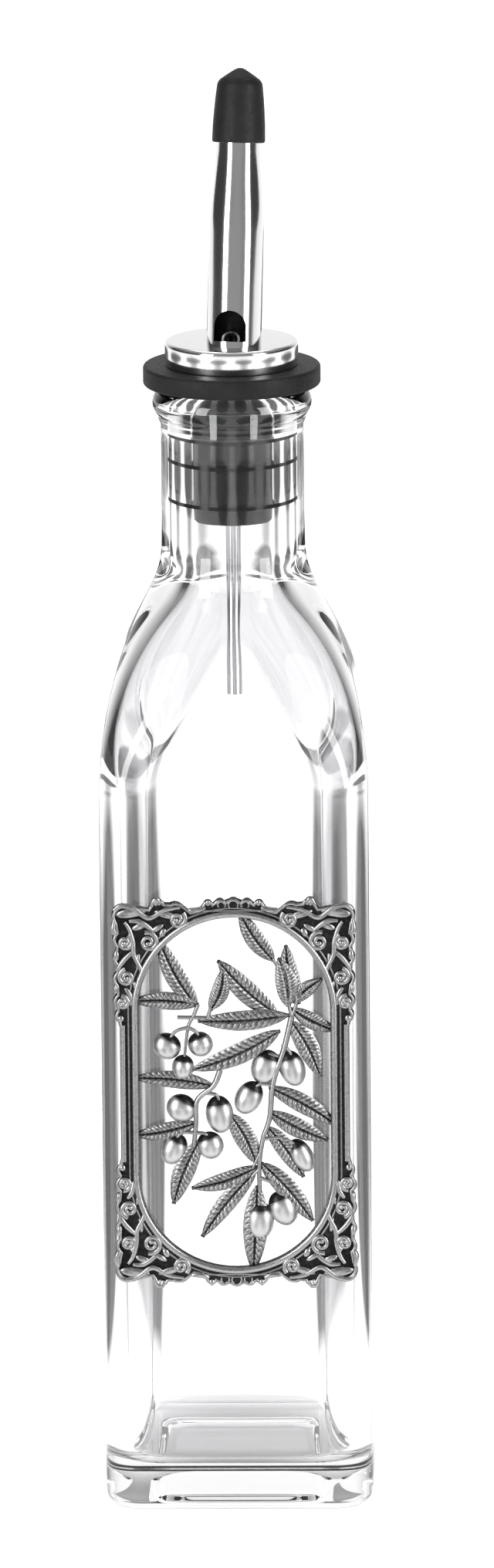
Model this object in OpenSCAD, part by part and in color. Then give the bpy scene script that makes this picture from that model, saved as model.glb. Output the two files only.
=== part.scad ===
// Square glass oil bottle with a relief plaque on its front and a steel pourer in its neck.
// Millimetres, +Z up. The origin is the middle of the base, on the surface that it stands on.
// The plaque is on the -Y side. The spout leans back, towards +Y.

/* [Glass bottle] */
// Width and depth of the square body
body_w = 58; // [56:0.5:60]
// Outer corner radius of the body
body_corner = 8; // [6:0.5:9]
// Radius round the bottom edge
heel_r = 3.5; // [2:0.5:4]
// Thickness of the body's walls
wall = 2.8; // [2.2:0.1:3.2]
// Height of the inside floor above the table
floor_z = 10; // [8:0.5:12]
// Height at which the shoulder starts
shoulder_z = 159; // [156:1:160]
// Outer diameter of the neck
neck_d = 30.8; // [30:0.2:31.6]
// Bore of the neck
bore_d = 18; // [17.6:0.1:18.4]
// Diameter of the bead round the lip
bead_d = 34.3; // [33:0.1:36]
// Height of the bottle without its stopper
bottle_h = 244.2; // [243:0.2:246]
// Depth of the hollow under the base
push_up = 1.8; // [1:0.1:3]

/* [Plaque] */
// Width of the frame over its corners
plaque_w = 52.4; // [51:0.2:54]
// Height of the frame over its corners
plaque_h = 86.7; // [85:0.2:89]
// Height of the plaque's centre
plaque_z = 94.7; // [90:0.5:100]
// Thickness of the frame's plate
plaque_t = 1.2; // [1:0.1:1.5]
// Radius of the ends of the oval opening
opening_r = 20.6; // [20:0.1:21]
// Length of the opening's straight sides
opening_straight = 36.4; // [34:0.2:38]
// Depth of the branch from the backs of its leaves to the tops of its olives
relief = 2.4; // [2:0.1:2.6]
// Thickness of the adhesive pads
pad_t = 0.9; // [0.8:0.1:1]

/* [Stopper] */
// Diameter of the stopper's flange
flange_d = 38.2; // [37:0.2:40]
// Thickness of the flange
flange_t = 4.3; // [3.5:0.1:5]
// Length of the plug inside the neck
plug_l = 29.2; // [28:0.2:31]
// Gap between the fins and the bore, on the radius
fin_gap = 0.05; // [0.03:0.01:0.1]

/* [Pourer] */
// Outer diameter of the steel collar
collar_d = 28.7; // [28:0.1:30]
// Height of the collar
collar_h = 5.25; // [5:0.05:6]
// Backward lean of the spout
spout_lean = 10; // [8:0.5:12]
// Sideways turn of the lean, seen from above
spout_turn = -9.5; // [-12:0.5:0]
// Outer diameter of the spout's straight part
spout_d = 11.8; // [11.4:0.1:12]
// Outer diameter of the spout at its tip
spout_tip_d = 8.3; // [8:0.1:8.6]
// Length of the spout above the collar
spout_l = 56.5; // [54:0.5:58]
// Thickness of the steel tube
tube_wall = 0.5; // [0.4:0.05:0.6]
// Width of the air hole at the spout's foot
air_hole_w = 7; // [6:0.2:7.2]
// Outer diameter of the breather tube
breather_d = 3.3; // [3:0.1:3.6]
// Height of the breather tube's lower end
breather_z = 176.9; // [170:0.5:190]

/* [Tip cap] */
// Length of the rubber cap along the spout
cap_l = 16; // [15:0.2:17]
// Diameter of the cap at its open end
cap_d = 11.4; // [11.2:0.1:12]
// Gap between the cap and the spout, on the radius
cap_gap = 0.06; // [0.04:0.01:0.1]

/* [Hidden] */
$fn = 64;

eps = 0.01;
half_w = body_w / 2;
neck_r = neck_d / 2;
bore_r = bore_d / 2;
corner_steps = 5;
shoulder_steps = 8;
// How far below the shoulder the corners start to round over
dome_start = 6;

flange_z = bottle_h;
collar_z = flange_z + flange_t + 0.05;
collar_top = collar_z + collar_h;
collar_sheet = 0.6;
fin_heights = [3.8, 12.5, 18.3];
fin_h = 1.6;

shank_r = 6;
funnel_r = 10.8;
leaf_steps = 7;
spout_foot = [0.6, -3.5];
straight_l = 24;
cap_start = spout_l + 2.4 - cap_l;

// Points of an arc in the plane, from angle a0 to a1.
function arc(cx, cy, r, a0, a1, steps) = [
    for (i = [0:steps]) let (a = a0 + (a1 - a0) * i / steps) [cx + r * cos(a), cy + r * sin(a)]
];

// Points of a square with rounded corners, anticlockwise.
function rounded_square(half, r) = [
    for (quarter = [0:3])
        let (c = 90 * quarter + 45)
        each arc((half - r) * sign(cos(c)), (half - r) * sign(sin(c)), r,
                 90 * quarter, 90 * quarter + 90, corner_steps)
];

// Radius of an arc that starts upright and has come in by d at height dz.
function arc_radius(dz, d) = (dz * dz + d * d) / (2 * d);

// One side of a body: round the foot, up the wall and over the shoulder's arc.
function side(half, foot_z, foot_r, arc_r, top_dz) = concat(
    arc(half - foot_r, foot_z + foot_r, foot_r, -90, 0, 4),
    arc(half - arc_r, shoulder_z, arc_r, 0, asin(top_dz / arc_r), shoulder_steps)
);

// Body that is square with rounded corners below and round where it meets the neck.
module bottle_form(half, corner, foot_z, foot_r, top_dz, top_half) {
    arc_r = arc_radius(top_dz, half - top_half);
    right = side(half, foot_z, foot_r, arc_r, top_dz);
    outline = concat(right, [for (i = [len(right) - 1:-1:0]) [-right[i][0], right[i][1]]]);
    diagonal = (half - corner) * sqrt(2) + corner;
    dome_r = arc_radius(top_dz + dome_start, diagonal - top_half);
    intersection() {
        for (turn = [0, 90])
            rotate([90, 0, turn])
                linear_extrude(2 * half + 4, center = true)
                    polygon(outline);
        translate([0, 0, foot_z - 1])
            linear_extrude(bottle_h)
                polygon(rounded_square(half + eps, corner));
        rotate_extrude()
            polygon(concat(
                [[0, foot_z], [diagonal - foot_r - 1, foot_z], [diagonal + 1, foot_z + foot_r + 1]],
                arc(diagonal + 0.2 - dome_r, shoulder_z - dome_start, dome_r,
                    0, asin((top_dz + dome_start) / dome_r), shoulder_steps),
                [[0, shoulder_z + top_dz]]
            ));
    }
}

module neck_finish() {
    bead_r = 3.85;
    rotate_extrude()
        polygon(concat(
            [[bore_r - 2, shoulder_z + 34], [neck_r, shoulder_z + 34], [neck_r, bottle_h - 8.4]],
            arc(bead_d / 2 - bead_r, bottle_h - bead_r, bead_r, -58, 90, 10),
            [[bore_r + 1, bottle_h], [bore_r - 2, bottle_h - 3]]
        ));
}

module glass_bottle() {
    color("azure", 0.4)
        difference() {
            union() {
                bottle_form(half_w, body_corner, 0, heel_r, 47, 13.3);
                neck_finish();
            }
            bottle_form(half_w - wall, body_corner + 2, floor_z, 4, 42, bore_r - 1.5);
            translate([0, 0, shoulder_z + 30])
                cylinder(r = bore_r, h = bottle_h);
            translate([0, 0, -1])
                linear_extrude(1 + push_up)
                    polygon(rounded_square(18.2, 6));
        }
}

// Puts a flat relief, drawn upright in X and Y, on the front face at its depth.
module on_front(depth) {
    translate([0, -half_w - depth, plaque_z])
        rotate([90, 0, 0])
            children();
}

module mirrored_to_corners() {
    for (u = [0, 1]) for (v = [0, 1])
        mirror([u, 0, 0]) mirror([0, v, 0])
            children();
}

module opening_outline(r) {
    for (s = [-1, 1])
        translate([0, s * opening_straight / 2])
            circle(r);
    square([2 * r, opening_straight], center = true);
}

module ring_bead(r, bead) {
    for (s = [0, 180])
        rotate(s)
            translate([0, opening_straight / 2])
                rotate_extrude(angle = 180)
                    translate([r, 0]) circle(bead, $fn = 12);
    for (s = [-1, 1])
        translate([s * r, 0, 0])
            rotate([90, 0, 0])
                cylinder(r = bead, h = opening_straight, center = true, $fn = 12);
}

module scroll(u, v, r) {
    wire = 0.5;
    translate([u, v, plaque_t]) {
        rotate_extrude($fn = 20)
            translate([r - wire, 0]) circle(wire, $fn = 8);
        sphere(r * 0.35, $fn = 12);
    }
}

module plaque_frame() {
    crest = 2.6;
    color("lightslategray")
        on_front(pad_t) {
            linear_extrude(plaque_t)
                difference() {
                    union() {
                        square([plaque_w - 2.6, plaque_h - 4.4], center = true);
                        mirrored_to_corners()
                            translate([plaque_w / 2 - 12, plaque_h / 2 - 24])
                                square([12, 24]);
                        for (s = [-1, 1])
                            translate([0, s * (plaque_h / 2 - crest)]) circle(crest, $fn = 24);
                    }
                    opening_outline(opening_r, $fn = 72);
                }
            translate([0, 0, plaque_t])
                ring_bead(opening_r + 0.9, 0.6, $fn = 48);
            mirrored_to_corners() {
                scroll(12, 38.7, 2.1);
                scroll(23.3, 33.6, 1.9);
                scroll(18.4, 33.6, 2.3);
                scroll(23, 25.8, 2.1);
                scroll(23.8, 20.3, 1.9);
            }
        }
}

// Leaf outline between two points, widest a little before its middle, with blunt ends.
module leaf(from, to, w) {
    d = to - from;
    side = [-d[1], d[0]] / norm(d);
    blunt = 0.15;
    half = [for (i = [0:leaf_steps]) max(blunt, w / 2 * pow(sin(180 * pow(i / leaf_steps, 0.85)), 0.8))];
    polygon(concat(
        [for (i = [0:leaf_steps]) from + d * i / leaf_steps + side * half[i]],
        [for (i = [leaf_steps:-1:0]) from + d * i / leaf_steps - side * half[i]]
    ));
}

// Twig of width w through a list of points.
module twig(path, w) {
    for (i = [0:len(path) - 2])
        let (d = path[i + 1] - path[i])
        translate(path[i])
            rotate(atan2(d[1], d[0])) {
                translate([0, -w / 2]) square([norm(d), w]);
                circle(w / 2, $fn = 12);
            }
}

// Olive in relief: centre, half width, half height, turn.
module olive(at, ru, rv, turn = 0) {
    translate([at[0], at[1], 0.2])
        rotate(turn)
            difference() {
                scale([ru, rv, 2.2]) sphere(1, $fn = 20);
                translate([0, 0, -5]) cube([20, 20, 10], center = true);
            }
}

module olive_branch() {
    leaf_t = 0.6;
    color("slategray")
        on_front(pad_t - leaf_t)
            resize([0, 0, relief]) {
                linear_extrude(leaf_t) {
                    leaf([-8.2, 19.1], [-15.4, 33.4], 3.8);
                    leaf([-7.8, 19.5], [-21.6, 20.3], 3.5);
                    leaf([-5.1, 18.3], [-2.3, 27.3], 3.4);
                    leaf([9.1, 17.1], [-3.4, 29.1], 4.5);
                    leaf([8.5, 29.1], [1.3, 39.6], 3.5);
                    leaf([13.9, 19.5], [11.2, 32.4], 3.8);
                    leaf([11.6, 19.1], [9.7, 29.7], 4.2);
                    leaf([12.6, 19.9], [18.8, 25], 3);
                    leaf([12.4, 18.4], [21.6, 14.4], 3.2);
                    leaf([11.6, 17.1], [-7.8, 15.9], 4.2);
                    leaf([9.7, 13.6], [-9.3, 5], 4.2);
                    leaf([12.2, 15.8], [18.4, 3.4], 4.2);
                    leaf([-4.7, 1.4], [-21.6, 3.2], 3.4);
                    leaf([-8.5, -6.9], [-21.6, -9.6], 3.4);
                    leaf([-7.8, -10.8], [-13.5, -24.9], 4.2);
                    leaf([-1.2, -4.9], [4.4, -15.9], 4.5);
                    leaf([4.6, -16.7], [-9.5, -21.4], 3.4);
                    leaf([4.2, -17.8], [-7.4, -32.3], 3.6);
                    leaf([4.6, -21], [3.6, -39.6], 4.9);
                    leaf([5.6, -15.9], [16.5, -28.8], 4.2);
                    leaf([6.9, -7.8], [14.6, -19], 3.8);
                    leaf([7.4, 1], [21.8, -7], 3.8);
                    leaf([7.4, -4.5], [19.9, -10.8], 3.8);
                    twig([[-12.3, 16.7], [11.6, 17.1]], 1.2);
                    twig([[12.3, 16.7], [8.2, 2.1], [7.4, -5.7], [5.9, -10.4], [5.1, -15.9],
                          [5.1, -28]], 1.4);
                    twig([[-3.2, 4.9], [-4.7, 1.4], [-8.2, -1.8], [-8.5, -6.9], [-9, -12]], 1.2);
                    twig([[-7.8, 19.3], [-10, 14.4], [-11.2, 6]], 1.1);
                    twig([[12.3, 16.7], [13.2, 20]], 1.2);
                    twig([[12.3, 16.7], [11.6, 20]], 1.2);
                    twig([[9.9, 26.5], [8.3, 29.6]], 1);
                    twig([[-5.4, 16.9], [-5.1, 19]], 1);
                    twig([[-10, 14.4], [-14.2, 11]], 1);
                    twig([[-10, 14.4], [-7.6, 11]], 1);
                    twig([[10, 8.5], [12.3, 6]], 1);
                    twig([[7.4, -3], [3.4, -1.6]], 1);
                    twig([[-8.5, -6.9], [-11.2, -4.4]], 1);
                    twig([[-8.5, -6.9], [-4, -5.4]], 1);
                    twig([[-9, -11], [-12.8, -12.4]], 1);
                    twig([[-9, -11], [-6, -12]], 1);
                    twig([[5.1, -21.4], [9.6, -25.4]], 1);
                    twig([[5.1, -17], [3.4, -18.8]], 1);
                    twig([[5.9, -10.4], [13.8, -14.3]], 1.1);
                }
                olive([-14.6, 10.1], 3.1, 2.9);
                olive([-7.4, 10.5], 2.7, 2.7);
                olive([-11.2, 5.4], 2.3, 2.8);
                olive([6.6, 5.4], 3.1, 3.9);
                olive([12.3, 5.1], 2.7, 4.1);
                olive([-11.6, -3.7], 3.3, 3.1);
                olive([-3.4, -5.1], 3, 4.4);
                olive([-13.3, -12.8], 2.75, 3.7);
                olive([-5.5, -12], 2.9, 3);
                olive([2.9, -1.4], 2.85, 3.9, 25);
                olive([5.1, -28.8], 3, 4.3);
                olive([10.1, -26.1], 3, 4, 20);
                olive([14.2, -14.3], 2.3, 4);
            }
}

module adhesive_pads() {
    color("whitesmoke")
        on_front(0)
            mirrored_to_corners()
                translate([18, 37.2]) cylinder(r = 2.8, h = pad_t);
}

module rubber_stopper() {
    edge = 0.7;
    fin_r = bore_r - fin_gap;
    color("#1c1c1c")
        difference() {
            union() {
                rotate_extrude()
                    polygon(concat(
                        [[0, flange_z]],
                        arc(flange_d / 2 - edge, flange_z + edge, edge, -90, 0, 4),
                        arc(flange_d / 2 - edge, flange_z + flange_t - edge, edge, 0, 90, 4),
                        [[0, flange_z + flange_t]]
                    ));
                translate([0, 0, flange_z - plug_l])
                    cylinder(r1 = 8.4, r2 = 8.6, h = plug_l + eps);
                for (h = fin_heights)
                    translate([0, 0, flange_z - plug_l + h - fin_h / 2]) {
                        cylinder(r1 = 8.2, r2 = fin_r, h = fin_h * 0.4);
                        translate([0, 0, fin_h * 0.4]) cylinder(r = fin_r, h = fin_h * 0.3);
                        translate([0, 0, fin_h * 0.7])
                            cylinder(r1 = fin_r, r2 = 8.2, h = fin_h * 0.3);
                    }
            }
            translate([0, 0, flange_z - plug_l - 1])
                cylinder(r = shank_r + 0.05, h = plug_l + flange_t + 2);
        }
}

// Places its children on the spout's own axis, which starts at the collar's top.
module on_spout() {
    translate([spout_foot[0], spout_foot[1], collar_top])
        rotate([0, 0, spout_turn])
            rotate([-spout_lean, 0, 0])
                children();
}

module collar_cap() {
    edge = 0.9;
    r = collar_d / 2;
    color("silver")
        difference() {
            rotate_extrude()
                polygon(concat(
                    [[0, collar_top]],
                    arc(r - edge, collar_top - edge, edge, 90, 0, 5),
                    [[r, collar_z], [r - collar_sheet, collar_z]],
                    arc(r - collar_sheet - edge, collar_top - collar_sheet - edge, edge, 0, 90, 5),
                    [[0, collar_top - collar_sheet]]
                ));
            on_spout()
                cylinder(d = spout_d, h = 8, center = true);
        }
}

module spout() {
    r = spout_d / 2;
    tip_r = spout_tip_d / 2;
    below = 3;
    color("silver")
        difference() {
            on_spout()
                rotate_extrude()
                    polygon([
                        [r - tube_wall, -below], [r, -below], [r, straight_l],
                        [4.8, cap_start], [tip_r, spout_l], [tip_r - tube_wall, spout_l],
                        [4.8 - tube_wall, cap_start], [r - tube_wall, straight_l]
                    ]);
            translate([0, 0, collar_top - collar_sheet - 10])
                cube([40, 40, 20], center = true);
            on_spout()
                rotate([90, 0, 0]) {
                    translate([0, 3.5, 0]) cylinder(d = air_hole_w, h = 10);
                    translate([-air_hole_w / 2, 0.3, 0]) cube([air_hole_w, 3.2, 10]);
                }
        }
}

module shank() {
    top = collar_top - collar_sheet;
    color("silver")
        rotate_extrude()
            polygon([
                [shank_r - tube_wall, flange_z - plug_l + 0.6], [shank_r, flange_z - plug_l + 0.6],
                [shank_r, flange_z + flange_t], [shank_r + 0.6, flange_z + flange_t + 0.6],
                [funnel_r, top - 0.6], [funnel_r, top], [funnel_r - tube_wall, top],
                [funnel_r - tube_wall, top - 0.4],
                [shank_r + 0.3, flange_z + flange_t + 1.1], [shank_r - tube_wall, flange_z + flange_t]
            ]);
}

// Rod on the axis with a slanting mouth piece at its top that faces the air hole.
module breather_rod(r, start, mouth_r, mouth_start, mouth_l) {
    elbow_z = flange_z + 6;
    translate([0, 0, start])
        cylinder(r = r, h = elbow_z - start);
    translate([0, 0, elbow_z])
        rotate([50, 0, 0])
            translate([0, 0, mouth_start])
                cylinder(r = mouth_r, h = mouth_l);
}

module breather_tube() {
    r = breather_d / 2;
    mouth_r = r + 0.3;
    sheet = 0.45;
    color("gainsboro")
        difference() {
            breather_rod(r, breather_z, mouth_r, -mouth_r, mouth_r + 7.5);
            breather_rod(r - sheet, breather_z - 1, mouth_r - sheet, sheet - mouth_r, mouth_r + 9);
        }
}

module tip_cap() {
    // Outer radii measured up from the open end of the cap
    rim = 0.4;
    r = cap_d / 2;
    inner_r = 4.8 + cap_gap;
    end_r = spout_tip_d / 2 + cap_gap;
    color("#262626")
        on_spout()
            translate([0, 0, cap_start])
                rotate_extrude()
                    polygon([
                        [inner_r, 0], [r - rim, 0], [r, rim], [r - 0.15, 3.8], [r - 0.4, 7.8],
                        [r - 0.75, cap_l - 4.1], [r - 1.15, cap_l - 2.7], [r - 2.2, cap_l - 1.8],
                        [0.9, cap_l - 0.1], [0, cap_l], [0, cap_l - 2.3],
                        [end_r, cap_l - 2.3]
                    ]);
}

glass_bottle();
plaque_frame();
olive_branch();
adhesive_pads();
rubber_stopper();
collar_cap();
spout();
shank();
breather_tube();
tip_cap();
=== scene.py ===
"""Studio scene of a square glass oil bottle with a pewter olive plaque and a steel pourer.

The CAD frame gives every place and size. Pieces are drawn in millimetres and placed in metres.
"""

import logging
import math
from dataclasses import dataclass, field
from enum import Enum
from typing import Callable

import bpy
from mathutils import Matrix, Vector

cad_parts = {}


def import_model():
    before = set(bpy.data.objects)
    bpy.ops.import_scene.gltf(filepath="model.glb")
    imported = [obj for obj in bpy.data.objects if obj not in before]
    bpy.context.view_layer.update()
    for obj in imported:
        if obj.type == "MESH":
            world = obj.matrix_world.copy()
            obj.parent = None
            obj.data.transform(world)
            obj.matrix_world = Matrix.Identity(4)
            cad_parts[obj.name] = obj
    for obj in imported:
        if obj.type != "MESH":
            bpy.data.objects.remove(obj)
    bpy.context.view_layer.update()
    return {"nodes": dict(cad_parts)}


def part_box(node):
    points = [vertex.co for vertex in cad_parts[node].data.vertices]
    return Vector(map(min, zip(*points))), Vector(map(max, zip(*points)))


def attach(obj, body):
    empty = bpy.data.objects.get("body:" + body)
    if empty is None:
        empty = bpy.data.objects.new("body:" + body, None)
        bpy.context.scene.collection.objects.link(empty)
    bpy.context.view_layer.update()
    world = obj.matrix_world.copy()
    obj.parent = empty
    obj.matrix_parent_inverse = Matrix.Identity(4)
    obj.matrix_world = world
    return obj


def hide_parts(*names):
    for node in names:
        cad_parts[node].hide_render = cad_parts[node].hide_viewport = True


LOG = logging.getLogger("oil_bottle")
MM = 0.001
DOUBLES = 1e-5

Point2 = tuple[float, float]
Outline = list[Point2]


class Slot(str, Enum):
    """Names of material slots; no piece in this script uses them."""

    GLASS = "glass"
    PEWTER = "pewter"
    RUBBER = "rubber"
    POLISHED_STEEL = "polished_steel"


# ---------------------------------------------------------------- modelling moves


def arc(centre: Point2, radius: float, start: float, end: float, steps: int) -> Outline:
    """Points along an arc.

    Args:
        centre: Middle of the arc.
        radius: Its radius.
        start: First angle in degrees.
        end: Last angle in degrees.
        steps: Number of spans.

    Returns:
        The points, ends included.
    """
    angles = [math.radians(start + (end - start) * i / steps) for i in range(steps + 1)]
    return [(centre[0] + radius * math.cos(a), centre[1] + radius * math.sin(a)) for a in angles]


def smooth_path(points: list[Point2], steps: int = 8) -> Outline:
    """Rounds a short list of points into one smooth path.

    Args:
        points: The points that the path passes through.
        steps: Spans between two of them.

    Returns:
        The points of the path.
    """
    if len(points) < 3:
        return points
    padded = [points[0], *points, points[-1]]
    path = []
    for a, b, c, d in zip(padded, padded[1:], padded[2:], padded[3:]):
        for i in range(steps):
            t = i / steps
            path.append(tuple(
                0.5 * (2 * b[k] + (c[k] - a[k]) * t
                       + (2 * a[k] - 5 * b[k] + 4 * c[k] - d[k]) * t ** 2
                       + (3 * b[k] - a[k] - 3 * c[k] + d[k]) * t ** 3)
                for k in (0, 1)))
    return [*path, points[-1]]


def smoothstep(t: float) -> float:
    """Eases t, held between 0 and 1."""
    t = min(max(t, 0.0), 1.0)
    return t * t * (3 - 2 * t)


def select_only(obj: bpy.types.Object) -> None:
    """Makes an object the only selected one, and the active one."""
    bpy.ops.object.select_all(action="DESELECT")
    obj.select_set(True)
    bpy.context.view_layer.objects.active = obj


def new_circle(name: str, count: int) -> bpy.types.Object:
    """Adds a filled circle of radius 1 with a given number of points, to be shaped further."""
    bpy.ops.object.select_all(action="DESELECT")
    bpy.ops.mesh.primitive_circle_add(vertices=count, radius=1, fill_type="NGON")
    obj = bpy.context.active_object
    obj.name = name
    return obj


def edit(obj: bpy.types.Object, *moves: Callable[[], object]) -> None:
    """Runs edit-mode moves on all of an object's mesh."""
    select_only(obj)
    bpy.ops.object.mode_set(mode="EDIT")
    bpy.ops.mesh.select_all(action="SELECT")
    for move in moves:
        move()
    bpy.ops.object.mode_set(mode="OBJECT")


def tidy_normals(obj: bpy.types.Object) -> None:
    """Merges doubles, clears what they leave loose and turns every face outwards."""
    edit(obj,
         lambda: bpy.ops.mesh.remove_doubles(threshold=DOUBLES),
         lambda: bpy.ops.mesh.delete_loose(),
         lambda: bpy.ops.mesh.select_all(action="SELECT"),
         lambda: bpy.ops.mesh.normals_make_consistent(inside=False))


def smooth(obj: bpy.types.Object, angle: float = 35.0) -> None:
    """Shades an object smooth up to an angle in degrees."""
    select_only(obj)
    bpy.ops.object.shade_smooth_by_angle(angle=math.radians(angle))


def lathe(name: str, profile: Outline, steps: int = 96) -> bpy.types.Object:
    """Spins a closed profile round the Z axis.

    Args:
        name: Name of the piece.
        profile: Points as radius and height; the last joins the first.
        steps: Segments round the axis.

    Returns:
        The new object.
    """
    obj = new_circle(name, len(profile))
    edit(obj, lambda: bpy.ops.mesh.delete(type="ONLY_FACE"))
    for vertex, (radius, height) in zip(obj.data.vertices, profile):
        vertex.co = (radius, 0, height)
    edit(obj, lambda: bpy.ops.mesh.spin(
        steps=steps, angle=math.tau, center=(0, 0, 0), axis=(0, 0, 1), dupli=False))
    tidy_normals(obj)
    return obj


def loft(name: str, rings: list[list[tuple]]) -> bpy.types.Object:
    """Extrudes a filled circle ring by ring into a closed shell.

    Args:
        name: Name of the piece.
        rings: Rings with the same number of points, from one end to the other.

    Returns:
        The new object.
    """
    count = len(rings[0])
    obj = new_circle(name, count)
    edit(obj, *[lambda: bpy.ops.mesh.extrude_region_move(
        TRANSFORM_OT_translate={"value": (0, 0, 1)})] * (len(rings) - 1))
    for vertex in obj.data.vertices:
        place = round(math.atan2(-vertex.co.x, vertex.co.y) / math.tau * count) % count
        vertex.co = rings[round(vertex.co.z)][place]
    return obj


def add_curve(name: str, dimensions: str) -> tuple[bpy.types.Object, bpy.types.Curve]:
    """Adds an empty curve object."""
    curve = bpy.data.curves.new(name, "CURVE")
    curve.dimensions = dimensions
    obj = bpy.data.objects.new(name, curve)
    bpy.context.scene.collection.objects.link(obj)
    return obj, curve


def add_spline(curve: bpy.types.Curve, path: list, closed: bool) -> bpy.types.Spline:
    """Adds a straight-sided spline through points of two or three dimensions."""
    spline = curve.splines.new("POLY")
    spline.points.add(len(path) - 1)
    spline.use_cyclic_u = closed
    for point, place in zip(spline.points, path):
        point.co = (*place, 0.0, 1.0)[:3] + (1.0,)
    return spline


def meshed(obj: bpy.types.Object) -> bpy.types.Object:
    """Turns a curve object into a mesh."""
    select_only(obj)
    bpy.ops.object.convert(target="MESH")
    return bpy.context.active_object


def wire(name: str, path: list, radius: float, taper: Callable[[float], float] = lambda t: 1.0,
         closed: bool = False, resolution: int = 3) -> bpy.types.Object:
    """Sweeps a round section along a path.

    Args:
        name: Name of the piece.
        path: Points in three dimensions.
        radius: Radius of the section.
        taper: Share of the radius at each share of the length.
        closed: Whether the path closes on itself.
        resolution: Roundness of the section.

    Returns:
        The swept mesh object.
    """
    obj, curve = add_curve(name, "3D")
    curve.bevel_depth = radius
    curve.bevel_resolution = resolution
    curve.use_fill_caps = not closed
    for i, point in enumerate(add_spline(curve, path, closed).points):
        point.radius = taper(i / (len(path) - 1))
    return meshed(obj)


def plate(name: str, outlines: list[Outline], thickness: float, bevel: float) -> bpy.types.Object:
    """Cuts a flat plate with softened edges, from 0 up to its thickness.

    Args:
        name: Name of the piece.
        outlines: The outer outline, then any holes.
        thickness: Thickness of the plate.
        bevel: Size of the edge bevel.

    Returns:
        The plate's mesh object.
    """
    obj, curve = add_curve(name, "2D")
    curve.fill_mode = "BOTH"
    curve.extrude = thickness / 2 - bevel
    curve.bevel_depth = bevel
    curve.bevel_resolution = 2
    curve.offset = -bevel
    for outline in outlines:
        add_spline(curve, outline, closed=True)
    obj = meshed(obj)
    obj.data.transform(Matrix.Translation((0, 0, thickness / 2)))
    tidy_normals(obj)
    return obj


def mound(name: str, size: tuple[float, float, float], rings: int = 14) -> bpy.types.Object:
    """Makes a half ellipsoid that stands on the plane z = 0.

    Args:
        name: Name of the piece.
        size: Half width, half length and height.
        rings: Rings of the sphere that it is cut from.

    Returns:
        The mound, with the sphere's UV map.
    """
    bpy.ops.object.select_all(action="DESELECT")
    bpy.ops.mesh.primitive_uv_sphere_add(segments=2 * rings, ring_count=rings, radius=1)
    obj = bpy.context.active_object
    obj.name = name
    # The sphere's poles are laid along the piece, so that its map runs from end to end.
    obj.data.transform(Matrix.Diagonal((*size, 1)) @ Matrix.Rotation(-math.pi / 2, 4, "X"))
    edit(obj, lambda: bpy.ops.mesh.bisect(
        plane_co=(0, 0, 0.02), plane_no=(0, 0, 1), clear_inner=True, use_fill=True))
    return obj


def cut(obj: bpy.types.Object, tool: bpy.types.Object) -> None:
    """Subtracts a tool from an object, and removes the tool."""
    select_only(obj)
    modifier = obj.modifiers.new("cut", "BOOLEAN")
    modifier.operation = "DIFFERENCE"
    modifier.solver = "EXACT"
    modifier.object = tool
    bpy.ops.object.modifier_apply(modifier=modifier.name)
    bpy.data.objects.remove(tool)


def joined(name: str, pieces: list[bpy.types.Object]) -> bpy.types.Object:
    """Joins pieces into one object."""
    bpy.ops.object.select_all(action="DESELECT")
    for piece in pieces:
        piece.select_set(True)
    bpy.context.view_layer.objects.active = pieces[0]
    bpy.ops.object.join()
    pieces[0].name = name
    return pieces[0]


# ---------------------------------------------------------------- finishes


class Nodes:
    """Short way to build a node tree."""

    def __init__(self, tree: bpy.types.NodeTree) -> None:
        """Keeps the tree."""
        self.tree = tree

    def add(self, kind: str, inputs: dict | None = None, **settings: object) -> bpy.types.Node:
        """Adds a node.

        Args:
            kind: Blender's node type.
            inputs: Values or sockets for its inputs, by name or number.
            **settings: Properties of the node.

        Returns:
            The node.
        """
        node = self.tree.nodes.new(kind)
        for key, value in settings.items():
            setattr(node, key, value)
        for key, value in (inputs or {}).items():
            if isinstance(value, bpy.types.NodeSocket):
                self.tree.links.new(value, node.inputs[key])
            else:
                node.inputs[key].default_value = value
        return node

    def maths(self, operation: str, a: object, b: object = 0.0) -> bpy.types.NodeSocket:
        """Adds a maths node and returns its result."""
        return self.add("ShaderNodeMath", {0: a, 1: b}, operation=operation).outputs[0]

    def spread(self, value: object, low: object, high: object, to_low: float,
               to_high: float) -> bpy.types.NodeSocket:
        """Maps a value from one range to another, held at both ends."""
        return self.add("ShaderNodeMapRange", {
            "Value": value, "From Min": low, "From Max": high, "To Min": to_low,
            "To Max": to_high}).outputs["Result"]

    def mix(self, factor: object, a: object, b: object) -> bpy.types.NodeSocket:
        """Mixes two colours."""
        return self.add("ShaderNodeMix", {0: factor, 6: a, 7: b}, data_type="RGBA").outputs[2]


def cleared(owner: bpy.types.Material | bpy.types.World) -> Nodes:
    """Turns on a material's or world's nodes, empties them and returns their builder."""
    owner.use_nodes = True
    owner.node_tree.nodes.clear()
    return Nodes(owner.node_tree)


def new_group(name: str, inputs: dict[str, float], outputs: list[str]) -> tuple:
    """Makes an empty shader node group.

    Args:
        name: Name of the group.
        inputs: Float inputs and their defaults.
        outputs: Names of the float outputs.

    Returns:
        The group, its node builder, and its input and output nodes.
    """
    tree = bpy.data.node_groups.new(name, "ShaderNodeTree")
    for label, default in inputs.items():
        socket = tree.interface.new_socket(label, in_out="INPUT", socket_type="NodeSocketFloat")
        socket.default_value = default
    for label in outputs:
        tree.interface.new_socket(label, in_out="OUTPUT", socket_type="NodeSocketFloat")
    nodes = Nodes(tree)
    return tree, nodes, nodes.add("NodeGroupInput"), nodes.add("NodeGroupOutput")


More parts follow.
